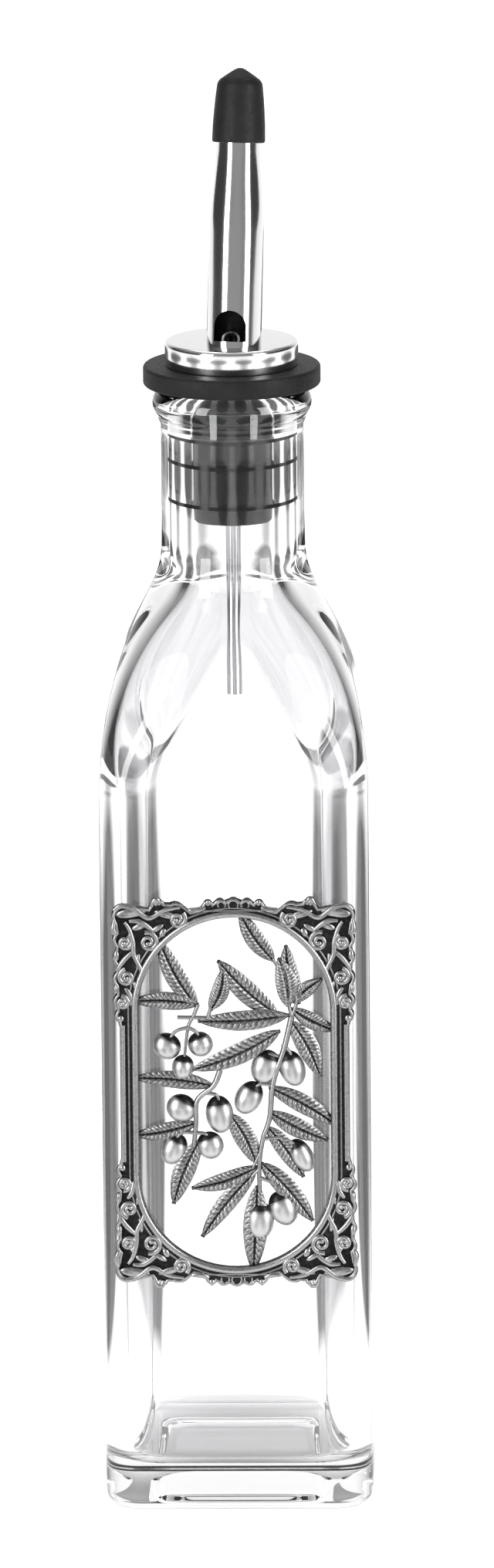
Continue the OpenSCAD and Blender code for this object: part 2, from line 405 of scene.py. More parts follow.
# The coarse grain's scale is this share of the fine grain's.
COARSE_SHARE = 0.12
RELIEF_NOISE = 900.0


def grain_group() -> None:
    """Builds the fine and coarse grain that every finish uses."""
    tree, nodes, given, result = new_group(
        "surface_grain", {"Scale": 400.0, "Stretch": 1.0}, ["Fine", "Coarse"])
    place = nodes.add("ShaderNodeTexCoord").outputs["Object"]
    parts = nodes.add("ShaderNodeSeparateXYZ", {0: place}).outputs
    flat = nodes.maths("MULTIPLY", parts["Z"], given.outputs["Stretch"])
    vector = nodes.add("ShaderNodeCombineXYZ", {
        "X": parts["X"], "Y": parts["Y"], "Z": flat}).outputs[0]
    fine = nodes.add("ShaderNodeTexNoise", {
        "Vector": vector, "Scale": given.outputs["Scale"], "Detail": 3.0})
    wider = nodes.maths("MULTIPLY", given.outputs["Scale"], COARSE_SHARE)
    coarse = nodes.add("ShaderNodeTexNoise", {"Vector": vector, "Scale": wider, "Detail": 2.0})
    tree.links.new(fine.outputs["Fac"], result.inputs["Fine"])
    tree.links.new(coarse.outputs["Fac"], result.inputs["Coarse"])


def relief_group() -> None:
    """Builds the mask of an antiqued relief: 0 in its recesses, 1 on its rubbed tops."""
    tree, nodes, given, result = new_group(
        "relief_height", {"Low": 0.0, "High": 1.0, "Breakup": 0.3}, ["Mask"])
    place = nodes.add("ShaderNodeTexCoord").outputs["Object"]
    depth = nodes.add("ShaderNodeSeparateXYZ", {0: place}).outputs["Y"]
    span = nodes.spread(depth, given.outputs["Low"], given.outputs["High"], 0.0, 1.0)
    noise = nodes.add("ShaderNodeTexNoise", {
        "Vector": place, "Scale": RELIEF_NOISE, "Detail": 3.0}).outputs["Fac"]
    shift = nodes.maths("MULTIPLY", nodes.maths("SUBTRACT", noise, 0.5), given.outputs["Breakup"])
    mask = nodes.add("ShaderNodeMath", {0: span, 1: shift}, operation="ADD",
                     use_clamp=True).outputs[0]
    tree.links.new(mask, result.inputs["Mask"])


@dataclass(frozen=True)
class Finish:
    """One material: plain values on the shader's sockets, and grain over them."""

    name: str
    dark: float
    light: float
    rough: tuple[float, float]
    metallic: float = 0.0
    transmission: float = 0.0
    specular: float = 0.5
    ior: float = 1.5
    grain: float = 400.0
    stretch: float = 1.0
    bump: float = 0.0
    relief: tuple[float, float] | None = None
    veins: bool = False
    # Dark stem end on the olives: partly oxide, partly a painted dark reflection.
    capped: bool = False

    def grey(self, value: float) -> tuple[float, float, float, float]:
        """Turns a grey level into a colour."""
        return (value, value, value * 1.01, 1.0)

    def build(self) -> bpy.types.Material:
        """Builds the material."""
        material = bpy.data.materials.new(self.name)
        nodes = cleared(material)
        tree = nodes.tree
        shader = nodes.add("ShaderNodeBsdfPrincipled", {
            "Metallic": self.metallic, "Transmission Weight": self.transmission, "IOR": self.ior,
            "Specular IOR Level": self.specular})
        nodes.add("ShaderNodeOutputMaterial", {"Surface": shader.outputs[0]})
        grain = nodes.add("ShaderNodeGroup", node_tree=bpy.data.node_groups["surface_grain"])
        grain.inputs["Scale"].default_value = self.grain
        grain.inputs["Stretch"].default_value = self.stretch
        fine, coarse = grain.outputs["Fine"], grain.outputs["Coarse"]
        tone = nodes.spread(coarse, 0.3, 0.7, 0.0, 1.0)
        height = fine
        if self.relief:
            mask = nodes.add("ShaderNodeGroup", node_tree=bpy.data.node_groups["relief_height"])
            mask.inputs["Low"].default_value = self.relief[0]
            mask.inputs["High"].default_value = self.relief[1]
            tone = mask.outputs["Mask"]
        if self.veins:
            tone, height = self.add_veins(nodes, tone, fine)
        # Olives' dark stem end: partly oxide, partly a painted reflection of dark surroundings.
        if self.capped:
            tone = self.add_oxide_and_reflection_cap(nodes, tone)
        colour = nodes.mix(tone, self.grey(self.dark), self.grey(self.light))
        tree.links.new(colour, shader.inputs["Base Color"])
        rough = nodes.spread(fine, 0.3, 0.7, *self.rough)
        tree.links.new(rough, shader.inputs["Roughness"])
        if self.bump:
            bump = nodes.add("ShaderNodeBump", {
                "Strength": self.bump, "Distance": 0.0002, "Height": height})
            tree.links.new(bump.outputs[0], shader.inputs["Normal"])
        return material

    @staticmethod
    def add_veins(nodes: Nodes, tone: bpy.types.NodeSocket, fine: bpy.types.NodeSocket) -> tuple:
        """Darkens a leaf between its veins and along its rib, by its UV map.

        Args:
            nodes: The material's node builder.
            tone: Share of the light tone so far.
            fine: Fine grain.

        Returns:
            The new tone and the height for the bump.
        """
        uv = nodes.add("ShaderNodeUVMap").outputs[0]
        parts = nodes.add("ShaderNodeSeparateXYZ", {0: uv}).outputs
        across = nodes.maths("ABSOLUTE", nodes.maths("SUBTRACT", parts["Y"], 0.5))
        slant = nodes.maths("SUBTRACT", nodes.maths("MULTIPLY", parts["X"], LEAF_VEINS * math.tau),
                            nodes.maths("MULTIPLY", across, VEIN_SLANT * 2))
        wave = nodes.spread(nodes.maths("SINE", slant), -1.0, 0.4, 0.0, 1.0)
        rib = nodes.spread(across, 0.01, 0.06, 0.0, 1.0)
        rim = nodes.spread(across, 0.4, 0.46, 0.0, 1.0)
        mask = nodes.maths("MAXIMUM", nodes.maths("MULTIPLY", wave, rib), rim)
        speck = nodes.spread(fine, 0.4, 0.6, 0.5, 1.0)
        engraved = nodes.maths("MULTIPLY", nodes.spread(mask, 0.0, 1.0, 0.35, 1.0), speck)
        mixed = nodes.maths("MULTIPLY", engraved, nodes.spread(tone, 0.0, 1.0, 0.45, 1.0))
        return mixed, nodes.maths("ADD", mask, nodes.maths("MULTIPLY", fine, 0.5))

    @staticmethod
    def add_oxide_and_reflection_cap(nodes: Nodes, tone: bpy.types.NodeSocket) -> bpy.types.NodeSocket:
        """Darkens the end of an olive that its stalk meets, by its UV map: partly oxide, partly a
        painted reflection of dark surroundings.
        """
        uv = nodes.add("ShaderNodeUVMap").outputs[0]
        along = nodes.add("ShaderNodeSeparateXYZ", {0: uv}).outputs["Y"]
        return nodes.maths("MULTIPLY", nodes.spread(along, 0.62, 0.7, 1.0, 0.0),
                           nodes.spread(tone, 0.0, 0.35, 0.3, 1.0))


def dress(obj: bpy.types.Object, finish: Finish) -> None:
    """Gives an object one finish, built once."""
    material = bpy.data.materials.get(finish.name) or finish.build()
    obj.data.materials.clear()
    obj.data.materials.append(material)


CLEAR_GLASS = Finish("clear_glass", 0.97, 1.0, (0.0, 0.004), transmission=1.0, ior=1.52,
                     grain=60.0, stretch=0.35, bump=0.012)
POLISHED_STEEL = Finish("polished_steel", 0.74, 0.82, (0.05, 0.11), metallic=1.0, grain=900.0,
                        stretch=0.06, bump=0.02)
DRAWN_STEEL = Finish("drawn_steel", 0.5, 0.62, (0.18, 0.32), metallic=1.0, grain=1200.0,
                     stretch=0.03, bump=0.05)
# Inside of the spout: steel painted near-black, a painted shade inside the tube.
BORE_PAINTED_SHADE = Finish("bore_painted_shade", 0.03, 0.09, (0.45, 0.6), metallic=1.0, grain=1200.0, bump=0.05)
BLACK_RUBBER = Finish("black_rubber", 0.006, 0.014, (0.45, 0.62), specular=0.22, grain=1500.0,
                      bump=0.1)
MOUNTING_PAD = Finish("mounting_pad", 0.7, 0.8, (0.7, 0.85), grain=1500.0, bump=0.2)


# ---------------------------------------------------------------- the bottle


@dataclass
class Bottle:
    """The pressed glass bottle. Heights and widths are in millimetres."""

    corner: float = 8.0
    heel: float = 3.5
    wall: float = 2.8
    floor: float = 10.0
    shoulder: float = 159.0
    shoulder_rise: float = 47.0
    shoulder_end_half: float = 13.3
    neck: float = 15.4
    bore: float = 9.0
    bead: float = 17.15
    bead_radius: float = 3.85
    push_up: float = 1.8
    points: int = 160
    half: float = field(init=False)
    height: float = field(init=False)

    def __post_init__(self) -> None:
        """Takes the outside size from the frame."""
        _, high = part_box("glass_bottle")
        self.half = high.x / MM
        self.height = high.z / MM

    def directions(self) -> list[float]:
        """Angles of a ring's points, closer together round the corners."""
        quarter = self.points // 4
        spread = [-1 + 2 * i / quarter for i in range(quarter)]
        return [math.radians(90 * q + 45 + 45 * (0.55 * p ** 3 + 0.45 * p))
                for q in range(4) for p in spread]

    def ring(self, half: float, corner: float, z: float) -> list[tuple]:
        """One level: a square with rounded corners.

        Args:
            half: Half of its width.
            corner: Radius of its corners.
            z: Its height.

        Returns:
            The ring's points.
        """
        corner = min(corner, half)
        straight = half - corner
        ring = []
        for angle in self.directions():
            c, s = abs(math.cos(angle)), abs(math.sin(angle))
            c, s = max(c, s), min(c, s)
            if half * s / c <= straight:
                reach = half / c
            else:
                b = straight * (c + s)
                reach = b + math.sqrt(max(b * b - 2 * straight ** 2 + corner ** 2, 0.0))
            ring.append((reach * math.cos(angle), reach * math.sin(angle), z))
        return ring

    @staticmethod
    def arc_radius(rise: float, inset: float) -> float:
        """Radius of an arc that starts upright and comes in by inset over rise."""
        return (rise ** 2 + inset ** 2) / (2 * inset)

    def shoulder_rings(self, half: float, corner: float, rise: float, end_half: float,
                       neck: float, join: float, steps: int) -> list[list[tuple]]:
        """Levels of one shoulder, from the straight wall to the round neck.

        Args:
            half: Half of the body's width.
            corner: Radius of the body's corners.
            rise: Height of the whole arc.
            end_half: Half width where the arc would end.
            neck: Radius of the neck.
            join: Height of the soft join between arc and neck.
            steps: Number of levels.

        Returns:
            The rings from the bottom up.
        """
        radius = self.arc_radius(rise, half - end_half)
        inset = half - neck
        meet = math.sqrt(radius ** 2 - (radius - inset) ** 2)
        rings = []
        for i in range(steps + 1):
            dz = (meet + join) * i / steps
            width = half - (radius - math.sqrt(radius ** 2 - min(dz, meet) ** 2))
            # Soft maximum of the arc and the neck, so that the two meet in a hollow curve
            slope = min(dz, meet) / math.sqrt(radius ** 2 - min(dz, meet) ** 2)
            beyond = width - max(dz - meet, 0.0) * slope
            soft = join * 0.28
            if dz > meet - 4 * join:
                width = neck + soft * math.log1p(math.exp((beyond - neck) / soft))
            share = smoothstep(dz / (meet + 4))
            rings.append(self.ring(width, corner + (width - corner) * share, self.shoulder + dz))
        return rings

    def outer_rings(self) -> list[list[tuple]]:
        """Outside, from the hollow under the base to the lip."""
        rings = [self.ring(w, c, self.push_up * h) for w, c, h in (
            (0.6, 0.6, 1.0), (8, 5, 1.0), (13, 6, 1.0), (15.8, 6, 0.94), (17.2, 6.2, 0.72),
            (18.2, 6.4, 0.3), (19.0, 6.6, 0.06), (20.0, 6.8, 0.0))]
        foot = self.half - self.heel
        rings += [self.ring(foot + x, self.corner - self.heel + x, self.heel + y)
                  for x, y in arc((0, 0), self.heel, -90, 0, 8)]
        rings += [self.ring(self.half, self.corner, z) for z in (60, 110, 150)]
        rings += self.shoulder_rings(self.half, self.corner, self.shoulder_rise,
                                     self.shoulder_end_half, self.neck, 6.0, 44)
        top = rings[-1][0][2]
        finish_z = self.height - self.bead_radius
        neck = [(self.neck, top + (finish_z - 6 - top) * t) for t in (0.25, 0.5, 0.75, 1.0)]
        neck += [(self.neck + 0.12, finish_z - 4.4), (self.neck + 0.5, finish_z - 3.5)]
        neck += arc((self.bead - self.bead_radius, finish_z), self.bead_radius, -50, 88, 16)
        neck += [(self.bead - self.bead_radius - 1, self.height), (self.bore + 1.4, self.height)]
        return rings + [self.ring(r, r, z) for r, z in neck]

    def inner_rings(self) -> list[list[tuple]]:
        """Inside, from the lip down to the floor."""
        rings = [self.ring(r, r, z) for r, z in
                 arc((self.bore + 1.2, self.height - 1.2), 1.2, 90, 180, 5)]
        half, corner, foot = self.half - self.wall, self.corner + 2, 4.0
        shoulder = self.shoulder_rings(half, corner, 42.0, 7.5, self.bore, 5.0, 44)
        top = shoulder[-1][0][2]
        rings += [self.ring(self.bore, self.bore, self.height - 1.2 - (self.height - 1.2 - top) * t)
                  for t in (0.2, 0.4, 0.6, 0.8)]
        rings += shoulder[::-1]
        rings += [self.ring(half, corner, z) for z in (150, 110, 60)]
        rings += [self.ring(half - foot + x, corner - (foot - x) * 0.7, self.floor + foot + y)
                  for x, y in arc((0, 0), foot, 0, -90, 8)]
        rings += [self.ring(w, min(w, 6), self.floor - drop)
                  for w, drop in ((16, 0.1), (8, 0.2), (0.6, 0.2))]
        return rings

    def build(self) -> bpy.types.Object:
        """Builds the bottle as one closed wall of glass."""
        obj = loft("bottle_glass", self.outer_rings() + self.inner_rings())
        obj.data.transform(Matrix.Scale(MM, 4))
        tidy_normals(obj)
        smooth(obj, 60)
        dress(obj, CLEAR_GLASS)
        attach(obj, "bottle")
        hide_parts("glass_bottle")
        return obj


# ---------------------------------------------------------------- the plaque

LEAF_VEINS = 15
VEIN_SLANT = 8.0


@dataclass(frozen=True)
class Leaf:
    """A leaf from its stalk to its tip, in the plaque's plane."""

    start: Point2
    tip: Point2
    width: float
    bend: float = 0.5
    lift: float = 0.0


@dataclass(frozen=True)
class Olive:
    """An olive, its half width and half height, and where its stalk comes from."""

    at: Point2
    size: Point2
    stalk: Point2


@dataclass(frozen=True)
class Scroll:
    """A spiral of one corner: its centre, radius, first angle, and turns with their sense."""

    at: Point2
    radius: float
    start: float
    turns: float


LEAVES = [
    Leaf((-8.2, 19.1), (-16.0, 33.6), 4.4, 0.6), Leaf((-7.8, 19.5), (-21.8, 20.3), 3.7, -0.5),
    Leaf((-5.1, 18.3), (-2.3, 27.3), 3.6, -0.8, 0.2), Leaf((9.1, 17.1), (-3.4, 29.1), 4.7, 0.6),
    Leaf((8.5, 29.1), (1.3, 39.8), 4.0, 0.5), Leaf((13.9, 19.5), (11.2, 32.4), 4.0, 0.7),
    Leaf((11.6, 19.1), (9.7, 29.7), 4.4, -0.6, 0.5), Leaf((12.6, 19.9), (18.8, 25.0), 3.2, 0.4),
    Leaf((12.4, 18.4), (21.8, 13.6), 3.4, -0.4), Leaf((11.6, 17.1), (-7.8, 15.9), 4.2, 0.5, 0.4),
    Leaf((9.7, 13.6), (-9.3, 5.0), 4.4, 0.9, 0.3), Leaf((12.2, 15.8), (18.4, 3.4), 4.4, 0.6, 0.2),
    Leaf((-4.7, 1.4), (-21.8, 3.2), 3.6, -0.6), Leaf((-8.5, -6.9), (-21.8, -9.6), 3.6, 0.4),
    Leaf((-7.8, -10.8), (-13.5, -24.9), 4.4, -0.6), Leaf((-1.2, -4.9), (4.4, -15.9), 4.5, 0.6),
    Leaf((4.6, -16.7), (-9.5, -21.4), 3.6, 0.7), Leaf((4.2, -17.8), (-7.4, -32.3), 3.8, -0.6),
    Leaf((4.6, -21.0), (3.6, -39.8), 5.0, 0.0), Leaf((5.6, -15.9), (16.5, -28.8), 4.4, 0.6),
    Leaf((6.9, -7.8), (14.6, -19.0), 4.0, 0.5), Leaf((7.4, 1.0), (21.9, -7.4), 4.0, 0.5),
    Leaf((7.4, -4.5), (19.9, -10.8), 4.0, -0.4),
]

OLIVES = [
    Olive((-14.6, 10.1), (3.1, 2.9), (-10.0, 14.4)), Olive((-7.4, 10.5), (2.7, 2.8), (-10.0, 14.4)),
    Olive((-11.2, 5.4), (2.4, 2.8), (-10.6, 9.0)), Olive((6.6, 5.4), (3.1, 3.9), (9.4, 10.6)),
    Olive((12.3, 5.1), (2.8, 4.1), (9.8, 10.6)), Olive((-11.6, -3.7), (3.3, 3.1), (-8.4, -0.5)),
    Olive((-3.4, -5.1), (3.0, 4.2), (-4.7, 1.4)), Olive((-13.3, -12.8), (2.75, 3.6), (-9.4, -7.6)),
    Olive((-5.5, -12.0), (2.9, 3.1), (-8.0, -7.2)), Olive((2.9, -1.4), (2.85, 3.9), (6.9, 2.8)),
    Olive((5.1, -28.8), (3.0, 4.3), (5.1, -22.0)), Olive((10.1, -26.1), (3.0, 4.0), (6.6, -21.0)),
    Olive((14.2, -14.3), (2.4, 4.0), (8.9, -9.6)),
]

STEMS = [
    [(-12.3, 16.7), (-2.0, 16.6), (11.6, 17.1)],
    [(12.3, 16.7), (10.6, 9.6), (8.2, 2.1), (7.4, -5.7), (5.9, -10.4), (5.1, -15.9), (5.1, -22.4)],
    [(-3.2, 4.9), (-4.7, 1.4), (-8.2, -1.8), (-8.5, -6.9), (-9.0, -12.0)],
    [(-7.8, 19.5), (-8.8, 17.0), (-10.0, 14.4), (-10.8, 8.0)],
    [(12.3, 16.7), (13.4, 20.0), (12.8, 23.0)],
    [(12.3, 16.7), (11.6, 20.0), (9.9, 26.5), (8.3, 29.6)],
    [(-5.6, 16.8), (-5.1, 19.0)], [(-10.0, 14.4), (-12.6, 13.6), (-14.4, 11.4)],
    [(-10.0, 14.4), (-8.2, 13.4), (-7.5, 11.6)], [(10.2, 10.6), (11.8, 9.0), (12.3, 7.0)],
    [(9.4, 8.0), (7.4, 8.4), (6.6, 7.2)], [(7.8, 1.6), (5.4, 1.8), (3.8, 0.4)],
    [(-8.3, -3.5), (-10.0, -3.4), (-11.0, -3.9)], [(-6.4, -0.2), (-4.0, -0.6), (-3.4, -2.6)],
    [(-8.8, -9.0), (-11.6, -9.0), (-13.0, -10.8)], [(-8.8, -9.0), (-6.6, -9.2), (-5.6, -10.4)],
    [(5.1, -19.0), (8.4, -20.6), (9.8, -23.4)], [(5.1, -17.0), (3.4, -18.8)],
    [(5.9, -10.4), (10.0, -10.2), (13.4, -12.0)], [(5.5, -13.0), (3.6, -17.0)],
]

CORNER_SCROLLS = [
    Scroll((12.0, 38.6), 2.2, 130, 1.55), Scroll((18.3, 33.6), 2.5, 70, 1.6),
    Scroll((23.3, 33.5), 2.0, 110, 1.6), Scroll((23.0, 25.8), 2.2, 80, -1.6),
    Scroll((24.0, 20.2), 1.8, 80, 1.5),
]

CORNER_STEMS = [
    [(22.4, 38.2), (20.4, 38.2), (18.6, 37.2), (17.2, 36.0)],
    [(23.4, 38.0), (22.4, 36.4), (21.6, 33.6), (21.4, 30.6), (20.0, 27.6), (19.6, 25.4)],
    [(21.5, 31.6), (23.6, 29.6), (25.1, 27.4)],
    [(23.4, 23.4), (22.4, 21.9), (22.0, 19.6)],
    [(25.7, 40.6), (24.2, 41.6), (21.4, 41.0), (18.2, 38.9), (14.8, 40.6), (11.4, 41.2)],
    [(25.5, 38.6), (25.8, 36.4), (25.2, 35.2)],
    [(9.6, 40.6), (7.6, 40.6), (6.0, 41.2)],
    [(17.6, 41.4), (17.0, 42.7), (16.2, 42.9), (15.8, 41.8)],
]

CORNER_BUDS = [
    ((22.0, 40.0), (1.2, 3.4), 82), ((14.4, 39.6), (0.9, 2.8), -74), ((16.4, 36.6), (0.7, 1.7), 60),
    ((15.2, 35.6), (0.8, 1.2), 30), ((20.6, 29.4), (0.6, 1.8), 8), ((20.2, 37.0), (0.8, 1.9), 70),
    ((24.4, 16.6), (0.8, 0.8), 0), ((25.2, 30.6), (0.7, 1.3), 0), ((21.2, 23.6), (0.5, 1.5), -12),
    ((16.6, 42.3), (0.6, 0.9), 0), ((5.4, 42.2), (0.7, 0.8), 0), ((25.4, 23.2), (0.5, 1.2), 0),
]


@dataclass
class Plaque:
    """The two pewter castings on the front of the bottle."""

    plate_t: float = 1.2
    opening: float = 20.6
    straight: float = 36.4
    wire_r: float = 0.56
    leaf_z: float = -0.1
    leaf_t: float = 0.45
    vein_rise: float = 0.05
    olive_z: float = -0.35
    olive_rise: float = 2.3
    olive_swing: float = 0.7
    olive_follow: float = 0.7
    twig_z: float = 0.62
    rim_inset: float = 0.5
    side_bead: float = 23.95
    place: Matrix = field(init=False)
    half_w: float = field(init=False)
    half_h: float = field(init=False)
    back: float = field(init=False)

    def __post_init__(self) -> None:
        """Takes the plaque's place and size from the frame."""
        low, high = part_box("plaque_frame")
        self.half_w = (high.x - low.x) / 2 / MM
        self.half_h = (high.z - low.z) / 2 / MM
        self.back = high.y
        centre = Vector(((low.x + high.x) / 2, high.y, (low.z + high.z) / 2))
        upright = Matrix(((1, 0, 0, 0), (0, 0, -1, 0), (0, 1, 0, 0), (0, 0, 0, 1)))
        self.place = Matrix.Translation(centre) @ upright @ Matrix.Scale(MM, 4)

    def pewter(self, name: str, low: float, high: float, **values: object) -> Finish:
        """Antiqued pewter whose dark and bright parts go by height above the plate's back."""
        base = {"dark": 0.02, "light": 0.36, "rough": (0.22, 0.38), "metallic": 1.0,
                "grain": 1400.0, "bump": 0.1}
        base.update(values)
        return Finish(name, relief=(self.back - low * MM, self.back - high * MM), **base)

    def stadium(self, radius: float, steps: int = 48) -> Outline:
        """Outline of the oval opening at a given radius."""
        s = self.straight / 2
        return arc((0, s), radius, 0, 180, steps) + arc((0, -s), radius, 180, 360, steps)

    def edge(self) -> Outline:
        """Outer outline of the frame: lobed corners, a waist at each side, and two crests."""
        w, h = self.half_w, self.half_h
        quarter = [(w - 1.5, 0.0), (w - 1.5, 14.6), (w - 1.2, 15.6)]
        quarter += arc((w - 1.9, 17.4), 1.5, -60, 50, 6) + arc((w - 1.8, 20.6), 1.7, -50, 60, 6)
        quarter += arc((w - 2.1, 25.6), 2.0, -45, 50, 6) + arc((w - 1.6, 30.3), 1.5, -50, 50, 5)
        quarter += arc((w - 2.0, 34.4), 1.9, -50, 55, 6) + arc((w - 2.3, 39.6), 2.3, -35, 80, 8)
        quarter += [(20.6, h - 1.9), (18.4, h - 2.3)] + arc((16.5, h - 1.3), 1.2, 10, 170, 6)
        quarter += arc((12.6, h - 3.1), 2.2, 60, 120, 5) + [(9.4, h - 2.9), (7.4, h - 2.6)]
        quarter += arc((5.5, h - 1.5), 1.0, 10, 170, 6) + arc((2.9, h - 1.3), 1.1, 40, 150, 5)
        crest = arc((0.0, h - 1.3), 1.3, 50, 130, 5)
        upper = quarter + crest + [(-x, y) for x, y in quarter[::-1]]
        return upper + [(-x, -y) for x, y in upper[1:-1]]

    def placed(self, obj: bpy.types.Object, angle: float = 40) -> bpy.types.Object:
        """Moves a piece drawn in the plaque's plane to its place on the bottle."""
        obj.data.transform(self.place)
        smooth(obj, angle)
        return obj

    def spiral(self, scroll: Scroll) -> list[tuple]:
        """Path of one scroll that winds in and rises a little to its eye."""
        steps = 40
        path = []
        for i in range(steps + 1):
            t = i / steps
            radius = (scroll.radius + 0.25 - self.wire_r) * (1 - 0.78 * t ** 0.85)
            angle = math.radians(scroll.start + 360 * scroll.turns * t)
            path.append((scroll.at[0] + radius * math.cos(angle),
                         scroll.at[1] + radius * math.sin(angle),
                         self.plate_t + 0.12 + 0.2 * t))
        return path

    def bud(self, at: Point2, size: Point2, turn: float, rise: float = 0.6) -> bpy.types.Object:
        """A small raised leaf or ball."""
        obj = mound("bud", (*size, rise), 8)
        obj.data.transform(Matrix.Translation((*at, self.plate_t))
                           @ Matrix.Rotation(math.radians(turn), 4, "Z"))
        return obj

    def corner(self) -> bpy.types.Object:
        """Scrollwork of the top right corner."""
        wires = [wire("scroll", self.spiral(s), self.wire_r, lambda t: 1.1 - 0.35 * t)
                 for s in CORNER_SCROLLS]
        eyes = [self.bud(self.spiral(s)[-1][:2], (0.66, 0.66), 0, 0.7) for s in CORNER_SCROLLS]
        stems = [wire("stem", [(*p, self.plate_t + 0.08) for p in smooth_path(path, 7)],
                      self.wire_r, lambda t: 0.75 + 0.45 * math.sin(math.pi * t))
                 for path in CORNER_STEMS]
        buds = [self.bud(*spec) for spec in CORNER_BUDS]
        return joined("corner_scrolls", wires + eyes + stems + buds)

    def mirrored(self, obj: bpy.types.Object) -> list[bpy.types.Object]:
        """Copies a corner to the other three."""
        copies = [obj]
        for u, v in ((-1, 1), (1, -1), (-1, -1)):
            copy = obj.copy()
            copy.data = obj.data.copy()
            bpy.context.scene.collection.objects.link(copy)
            copy.data.transform(Matrix.Diagonal((u, v, 1, 1)))
            if u * v < 0:
                edit(copy, lambda: bpy.ops.mesh.flip_normals())
            copies.append(copy)
        return copies

    def crest(self, side: int) -> list[bpy.types.Object]:
        """Loops in the middle of the top or bottom edge."""
        h = self.half_h
        loops = []
        for u, r in ((-2.5, 0.85), (0.0, 1.05), (2.5, 0.85)):
            ring = [(x, side * y, self.plate_t + 0.1)
                    for x, y in arc((u, h - 1.6), r, -40, 220, 14)]
            loops.append(wire("crest", ring, 0.3, lambda t: 0.7 + 0.5 * math.sin(math.pi * t)))
        line = [(x, side * (h - 2.9), self.plate_t + 0.1) for x in (-8.6, -4.3, 0.0, 4.3, 8.6)]
        return [*loops, wire("crest_line", line, 0.26)]

    def frame(self) -> bpy.types.Object:
        """Builds the frame casting: plate, ring, side beads, scrolls and crests."""
        edge = self.edge()
        parts = [plate("frame_plate", [edge, self.stadium(self.opening, 64)], self.plate_t, 0.25)]
        parts += self.mirrored(self.corner())
        for radius, size, rise in ((self.opening + 0.85, 0.8, -0.05),
                                   (self.opening + 2.2, 0.24, 0.08)):
            ring = [(x, y, self.plate_t + rise) for x, y in self.stadium(radius)]
            parts.append(wire("ring_bead", ring, size, closed=True, resolution=4))
        rim = [(x * (1 - self.rim_inset / self.half_w), y * (1 - self.rim_inset / self.half_h),
                self.plate_t + 0.02) for x, y in edge]
        parts.append(wire("edge_bead", rim, 0.42, closed=True))
        for side in (-1, 1):
            line = [(side * self.side_bead, v, self.plate_t - 0.02)
                    for v in (-15.2, -5.0, 5.0, 15.2)]
            parts.append(wire("side_bead", line, 0.58))
            parts += self.crest(side)
        obj = self.placed(joined("plaque_frame_casting", parts), 50)
        dress(obj, self.pewter("antiqued_pewter", 1.24, 1.62))
        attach(obj, "bottle")
        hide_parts("plaque_frame")
        return obj

    def leaf(self, leaf: Leaf) -> bpy.types.Object:
        """One leaf: two crowned halves with a sunk rib, raised veins and a UV map along it."""
        along, across = 60, 12
        start, tip = Vector(leaf.start), Vector(leaf.tip)
        direction = tip - start
        side = Vector((-direction.y, direction.x)).normalized()
        bpy.ops.object.select_all(action="DESELECT")
        bpy.ops.mesh.primitive_grid_add(x_subdivisions=along, y_subdivisions=across, size=1)
        obj = bpy.context.active_object
        for vertex in obj.data.vertices:
            t, s = vertex.co.x + 0.5, vertex.co.y * 2
            half = 0.1
            if 0 < t < 1:
                half = max(leaf.width * 0.54 * math.sin(math.pi * t ** 0.9) ** 0.62, 0.12)
            flat = start + direction * t + side * (half * s + leaf.bend * math.sin(math.pi * t))
            fold = abs(s)
            wave = math.sin(LEAF_VEINS * math.tau * t - VEIN_SLANT * fold)
            vein = wave * self.vein_rise * min(1, 3 * fold) * (1 - fold)
            rise = 0.95 + 0.34 * math.sin(math.pi * min(fold, 1.0) ** 0.8) - 0.3 * (1 - fold) ** 6
            rise += vein * min(half, 1.0) - 0.25 * fold ** 4
            height = self.leaf_z + rise * (0.55 + 0.45 * math.sin(math.pi * t)) + leaf.lift
            vertex.co = (flat.x, flat.y, height)
        modifier = obj.modifiers.new("body", "SOLIDIFY")
        modifier.thickness = self.leaf_t
        modifier.offset = -1
        bpy.ops.object.modifier_apply(modifier=modifier.name)
        return obj

    def leaves(self) -> bpy.types.Object:
        """All the leaves, with veins in their finish."""
        obj = self.placed(joined("olive_leaves", [self.leaf(leaf) for leaf in LEAVES]), 60)
        dress(obj, self.pewter("engraved_leaf", -0.2, 1.0, dark=0.035, light=0.42,
                               rough=(0.28, 0.45), bump=0.35, veins=True))
        return obj

    def olives(self) -> bpy.types.Object:
        """All the olives: polished mounds, each turned so that its stem end meets its stalk."""
        pieces = []
        for olive in OLIVES:
            body = mound("olive", (*olive.size, self.olive_rise), 22)
            towards = Vector(olive.stalk) - Vector(olive.at)
            turn = math.atan2(towards.y, towards.x) - math.pi / 2
            if abs(olive.size[0] - olive.size[1]) < 0.4:
                turn = (turn + math.pi / 2) % math.pi - math.pi / 2
            else:
                turn = max(min(turn, self.olive_swing), -self.olive_swing)
            body.data.transform(Matrix.Translation((*olive.at, self.olive_z))
                                @ Matrix.Rotation(turn * self.olive_follow, 4, "Z"))
            pieces.append(body)
        obj = self.placed(joined("olives", pieces), 60)
        dress(obj, self.pewter("polished_olive", 0.0, 0.9, dark=0.03, light=0.56,
                               rough=(0.34, 0.42), bump=0.03, capped=True))
        return obj

    def stems(self) -> bpy.types.Object:
        """Twigs and stalks."""
        wires = []
        for path in STEMS:
            points = smooth_path(path, 8)
            size = 0.62 if len(path) > 4 else 0.42
            wires.append(wire("twig", [(x, y, self.twig_z) for x, y in points], size,
                              lambda t: 1.1 - 0.35 * t))
        obj = self.placed(joined("twigs", wires), 60)
        dress(obj, self.pewter("dark_twig", 0.3, 1.2, dark=0.03, light=0.4, rough=(0.25, 0.4)))
        return obj

    def build(self) -> list[bpy.types.Object]:
        """Builds both castings."""
        branch = [self.leaves(), self.olives(), self.stems()]
        for obj in branch:
            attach(obj, "bottle")
            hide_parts("olive_branch")
        return [self.frame(), *branch]


# ---------------------------------------------------------------- stopper and pourer


